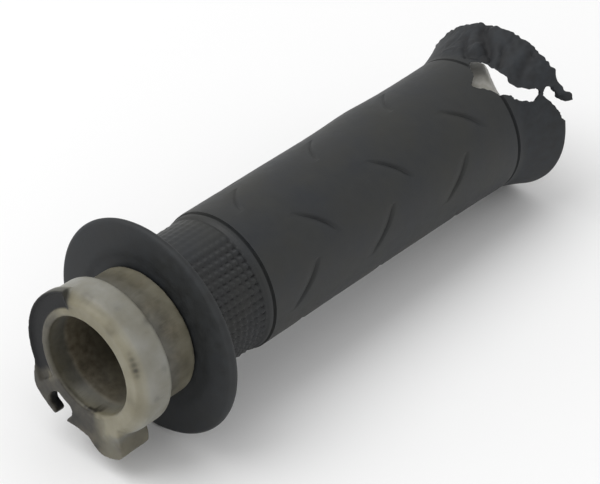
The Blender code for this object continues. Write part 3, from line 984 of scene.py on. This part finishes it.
def nylon_material():
    """Aged milky nylon: yellowed and stained, with grease where the cable ran, painted shade in its bore
    and on its collar and front ring, and painted light on its covered end.
    """
    material, tree, shader, add = new_material("stained_nylon")
    position = add("ShaderNodeTexCoord").outputs["Object"]
    cloud = mottling(add, position, 120.0)
    fine = mottling(add, position, 700.0, 6.0)
    base = ramp(add, cloud, (0.3, (0.17, 0.163, 0.129)), (0.7, (0.26, 0.26, 0.24)))
    warm = stored(add, "yellowed")
    yellow = ramp(add, cloud, (0.3, (0.175, 0.158, 0.105)), (0.7, (0.26, 0.245, 0.185)))
    color = blend(add, warm, base, yellow)
    # The tube's end that the sleeve covered: cleaner, and painted light against the shade round the torn
    # hole
    covered_and_lit = stored(add, "covered_and_lit")
    clean_and_lit = ramp(add, fine, (0.3, (0.38, 0.37, 0.33)), (0.7, (0.50, 0.49, 0.46)))
    color = blend(add, covered_and_lit, color, clean_and_lit)
    # Grime, with painted shade in the bore, on the front ring's left and on the collar next to the drum
    grime_and_shade = stored(add, "grime_and_shade")
    streaks = mottling(add, position, 260.0, 8.0)
    share = calculate(add, "MULTIPLY_ADD", streaks, 0.5, calculate(add, "SUBTRACT", grime_and_shade, 0.25))
    present = calculate(add, "MULTIPLY", grime_and_shade, 4.0, clamp=True)
    share = calculate(add, "MULTIPLY", share, present, clamp=True)
    dirt = ramp(add, fine, (0.3, (0.018, 0.016, 0.012)), (0.7, (0.052, 0.047, 0.036)))
    color = blend(add, share, color, dirt)
    # Brown stain; in the bore it is also painted shade
    stain_and_shade = stored(add, "stain_and_shade")
    brown = ramp(add, fine, (0.3, (0.075, 0.060, 0.038)), (0.7, (0.170, 0.145, 0.100)))
    color = blend(add, stain_and_shade, color, brown)
    grease = stored(add, "grease")
    black = ramp(add, fine, (0.3, (0.004, 0.004, 0.005)), (0.7, (0.014, 0.015, 0.016)))
    color = blend(add, grease, color, black)
    tree.links.new(color, shader.inputs["Base Color"])
    shader.inputs["Specular IOR Level"].default_value = 0.34
    rough = calculate(add, "MULTIPLY_ADD", fine, 0.3, calculate(add, "MULTIPLY_ADD", grease, 0.2, 0.3))
    tree.links.new(rough, shader.inputs["Roughness"])
    shader.inputs["Subsurface Weight"].default_value = 0.15
    shader.inputs["Subsurface Radius"].default_value = (1.0, 0.9, 0.7)
    shader.inputs["Subsurface Scale"].default_value = 0.0015
    inputs = {"Height": fine, "Strength": 0.3, "Distance": 0.0002}
    tree.links.new(add("ShaderNodeBump", inputs).outputs["Normal"], shader.inputs["Normal"])
    return material


def set_attribute(piece, name, values):
    """Stores one number for each point of the piece's mesh."""
    attribute = piece.data.attributes.new(name, "FLOAT", "POINT")
    attribute.data.foreach_set("value", np.asarray(values, np.float32))


def finish_piece(piece, material, node):
    """Smooth shading, material, and the frame's bookkeeping."""
    piece.data.materials.append(material)
    piece.data.shade_smooth()
    piece.data.set_sharp_from_angle(angle=math.radians(SHARP_ANGLE))
    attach(piece, "root")
    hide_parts(node)


def sunk(r, surface_r, start, full, strength):
    """How dark painted shade and dirt make each point of a recess, from how far it lies under the surface
    round it.
    """
    return strength * smoothstep(surface_r - start, surface_r - full, r)


def make_sleeve():
    """The rubber sleeve with its wear, and the painted shade and dirt in its recesses."""
    sleeve = build_sleeve()
    carve_scoops(sleeve)
    add_modifier(sleeve, "DECIMATE", ratio=SLEEVE_KEEP)
    bake_modifiers(sleeve)
    x, r, angle = polar(plain_points(sleeve) / MM)
    # Scuffed colour: wear on the torn strip and the flange, painted shade on the flared end
    worn = [share * zone(x, r, angle, part) for part, share in WORN_AND_SHADED_SKIN]
    set_attribute(sleeve, "scuffed_and_shaded", np.maximum.reduce(worn))
    body = (x > GROOVE_X[0] + 1.0) & (x < TEAR_START_X)
    band = (x > KNURL_X[0] - 0.2) & (x < KNURL_X[1] + 0.2)
    # Painted shade and dirt, darker the deeper a point lies in a scooped mark, the knurl or a groove
    deep = np.maximum(body * sunk(r, BODY_R, *SCOOP_SHADE_AND_DIRT), band * sunk(r, BAND_R, *KNURL_SHADE_AND_DIRT))
    for groove_x, half, lip_r in zip(GROOVE_X, GROOVE_HALF_WIDTH, (STRIP_R, BODY_END_R)):
        near = np.abs(x - groove_x) < half
        deep = np.maximum(deep, near * sunk(r, lip_r, *GROOVE_SHADE_AND_DIRT))
    # Painted shade in the torn strip's creases
    folded = np.clip(FOLD_SHADE * creases(x, angle), 0.0, FOLD_SHADE_MOST)
    folded = folded * smoothstep(*FOLD_SHADE_X, x) * smoothstep(*FOLD_SHADE_R, r)
    set_attribute(sleeve, "recess", np.maximum(deep, folded) * (r > OUTER_SIDE_R))
    finish_piece(sleeve, rubber_material(), "grip_rubber")


def smudges(x, r, turn, marks):
    """Strength of the placed smudges at each point, each (x, r, angle, size, strength)."""
    found = np.zeros(x.shape)
    points = place(x, r, turn)
    for at_x, at_r, at_turn, size, strength in marks:
        gap = np.linalg.norm(points - place(at_x, at_r, at_turn), axis=-1)
        found = np.maximum(found, strength * np.exp(-((gap / size) ** 2)))
    return found


def from_shaded_side(turn):
    """Runs from 0 at the angle of the bore's side with the most painted shade to 1 opposite it."""
    return 0.5 - 0.5 * np.cos(np.radians(turn - SHADED_SIDE_ANGLE))


def nylon_dirt_and_shade(x, r, turn, blotch, patchy):
    """How dark dirt and painted shade make the nylon: its mouth and collar, hook arm, lug, drum and placed
    smudges.
    """
    # The collar's grime, with painted shade heaviest next to the drum and fading towards the flange
    collar = zone(x, r, turn, COLLAR) * (0.25 + 0.6 * blotch) * (1.0 - 0.4 * smoothstep(*COLLAR_SHADE_FADE, x))
    # The mouth's grime with painted shade, darkest on one side of the bore, and painted light at its
    # bottom
    mouth = zone(x, r, turn, MOUTH) * (0.7 - 0.5 * from_shaded_side(turn))
    found = [
        collar,
        mouth * (1.0 - 0.5 * window(turn, *MOUTH_LIT_BOTTOM)),
        # The front ring's left side, darkened as dirt and painted shade
        0.78 * zone(x, r, turn, FRONT_RING),
        zone(x, r, turn, HOOK_ARM),
        zone(x, r, turn, LOW_PLATE),
        0.52 * zone(x, r, turn, STOP_LUG),
        0.15 * blotch * zone(x, r, turn, DRUM_BAND),
        smudges(x, r, turn, DIRT_SPOTS) * (0.5 + 0.5 * patchy),
    ]
    return np.maximum.reduce(found)


def make_nylon():
    """The nylon tube with its grease, dirt, stains and yellowing, and its painted shade and light."""
    tube = build_nylon()
    points = plain_points(tube) / MM
    x, r, angle = polar(points)
    turn = angle % 360.0
    blotch = 0.5 + 0.5 * grain(points, 3.5, 41)
    patchy = np.clip(0.5 + 0.9 * grain(points, 1.6, 42), 0.0, 1.0)
    black = np.maximum(zone(x, r, turn, CABLE_RECESS), 0.85 * zone(x, r, turn, HOOK_POCKET))
    black = black + smudges(x, r, turn, GREASE_SPOTS) * (0.6 + 0.4 * patchy)
    # The bore's brown stain with painted shade past its step, darkest on the shaded side
    brown = 0.75 * zone(x, r, turn, BORE) * (1.0 - 0.7 * from_shaded_side(turn))
    brown = brown * (1.0 - 0.7 * smoothstep(*DEEP_BORE, x))
    brown = brown + smudges(x, r, turn, BROWN_SPOTS) * (0.4 + 0.6 * patchy)
    warm = 0.85 * zone(x, r, turn, FRONT_FACE) + 0.8 * smoothstep(17.4, 18.5, r)
    warm = warm + 0.8 * smoothstep(10.0, 14.0, x) + 0.3 * blotch
    set_attribute(tube, "grease", np.clip(black, 0.0, 1.0))
    # Grime, with painted shade in the bore, on the front ring's left and on the collar next to the drum
    set_attribute(tube, "grime_and_shade", np.clip(nylon_dirt_and_shade(x, r, turn, blotch, patchy), 0.0, 1.0))
    # The covered tube end: cleaner, and painted light against the shade round the torn hole
    set_attribute(tube, "covered_and_lit", smoothstep(*COVERED_END, x) * (0.8 + 0.2 * patchy))
    # Brown stain; in the bore it is also painted shade
    set_attribute(tube, "stain_and_shade", np.clip(brown, 0.0, 1.0))
    set_attribute(tube, "yellowed", np.clip(warm, 0.0, 1.0))
    finish_piece(tube, nylon_material(), "throttle_tube")


def make_floor():
    """Pale floor that the grip lies on: it touches the flange and the flare."""
    low_front = Vector((0.5 * (FLANGE_FRONT_X + FLANGE_BACK_X), 0.0, -FLANGE_R))
    low_back = Vector((FLARE_WIDEST_X, 0.0, -FLARE_R))
    along = (low_back - low_front).normalized()
    up = Vector((-along.z, 0.0, along.x))
    side = Vector((0.0, 1.0, 0.0))
    middle = low_front - up * FLOOR_GAP
    signs = ((-1, -1), (1, -1), (1, 1), (-1, 1))
    corners = [middle + along * a * FLOOR_HALF + side * b * FLOOR_HALF for a, b in signs]
    data = bpy.data.meshes.new("floor")
    data.from_pydata([corner * MM for corner in corners], [], [(0, 1, 2, 3)])
    floor = bpy.data.objects.new("floor", data)
    bpy.context.scene.collection.objects.link(floor)
    material, _, shader, _ = new_material("pale_floor")
    shader.inputs["Base Color"].default_value = (0.9, 0.9, 0.9, 1.0)
    shader.inputs["Roughness"].default_value = 0.9
    shader.inputs["Specular IOR Level"].default_value = 0.1
    data.materials.append(material)


def soft_light(name, location, aim, size, power):
    """A large soft lamp, aimed at a point; places in metres."""
    data = bpy.data.lights.new(name, "AREA")
    data.shape = "DISK"
    data.size = size
    data.energy = power
    lamp = bpy.data.objects.new(name, data)
    bpy.context.scene.collection.objects.link(lamp)
    lamp.location = location
    lamp.rotation_mode = "QUATERNION"
    lamp.rotation_quaternion = (Vector(aim) - Vector(location)).to_track_quat("-Z", "Y")


def make_lights():
    """Plain white surroundings and one soft lamp."""
    world = bpy.data.worlds.new("studio")
    bpy.context.scene.world = world
    world.use_nodes = True
    background = world.node_tree.nodes["Background"]
    background.inputs["Color"].default_value = (1.0, 1.0, 1.0, 1.0)
    background.inputs["Strength"].default_value = WORLD_STRENGTH
    soft_light("key_light", LAMP_AT, LAMP_AIM, LAMP_SIZE, LAMP_POWER)


def make_camera():
    """Camera in the row frame, from its place and its forward and right directions."""
    data = bpy.data.cameras.new("camera")
    data.lens = CAMERA_LENS
    data.sensor_width = CAMERA_SENSOR
    data.clip_start = 0.01
    data.clip_end = 20.0
    camera = bpy.data.objects.new("camera", data)
    bpy.context.scene.collection.objects.link(camera)
    forward = Vector(CAMERA_FORWARD).normalized()
    right = Vector(CAMERA_RIGHT).normalized()
    up = right.cross(forward)
    turn = Matrix((right, up, -forward)).transposed().to_4x4()
    camera.matrix_world = Matrix.Translation(CAMERA_AT) @ turn
    bpy.context.scene.camera = camera


bpy.context.scene.view_settings.view_transform = "Standard"
make_camera()
make_lights()
make_floor()
make_nylon()
make_sleeve()
